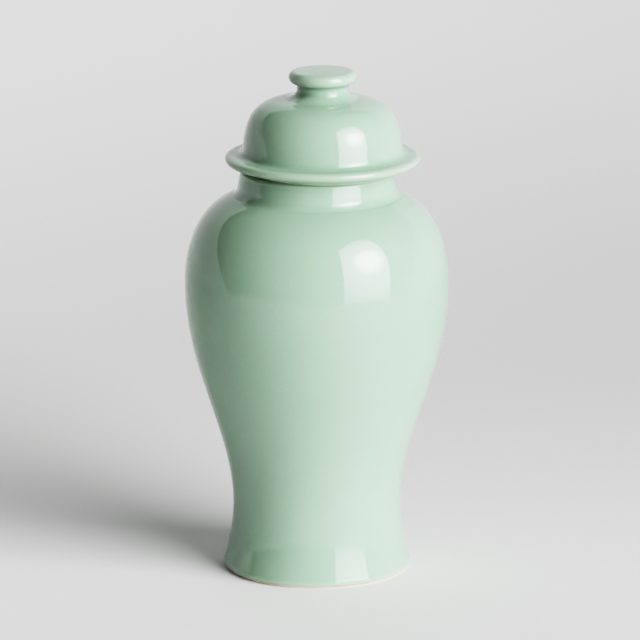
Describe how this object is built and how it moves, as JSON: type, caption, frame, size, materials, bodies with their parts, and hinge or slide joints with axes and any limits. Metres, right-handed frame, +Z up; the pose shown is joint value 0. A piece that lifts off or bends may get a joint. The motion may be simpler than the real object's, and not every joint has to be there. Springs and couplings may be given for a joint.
{
  "type": "ginger jar",
  "caption": "Baluster-shaped glazed jar with a high shoulder, short neck and flared foot, closed by a domed lift-off lid with a wide brim and a button knob.",
  "frame": {"origin": "centre of the foot ring, on the surface that the jar stands on", "axes": "+Z up along the jar's axis; the jar and the lid are round, and the loose lid sits 3.5 mm towards +X"},
  "size_m": [0.1588, 0.1588, 0.3054],
  "materials": {
    "celadon_glaze": "high gloss",
    "bare_stoneware": "matt, unglazed"
  },
  "bodies": {
    "jar": {"jar_body": "celadon_glaze"},
    "lid": {"lid_dome": "celadon_glaze", "lid_locating_ring": "bare_stoneware", "lid_knob": "celadon_glaze"}
  },
  "joints": [
    {"name": "lid_lift", "type": "slide", "parent": "jar", "child": "lid", "axis": [0, 0, 1], "range_m": [0, 0.12]}
  ]
}
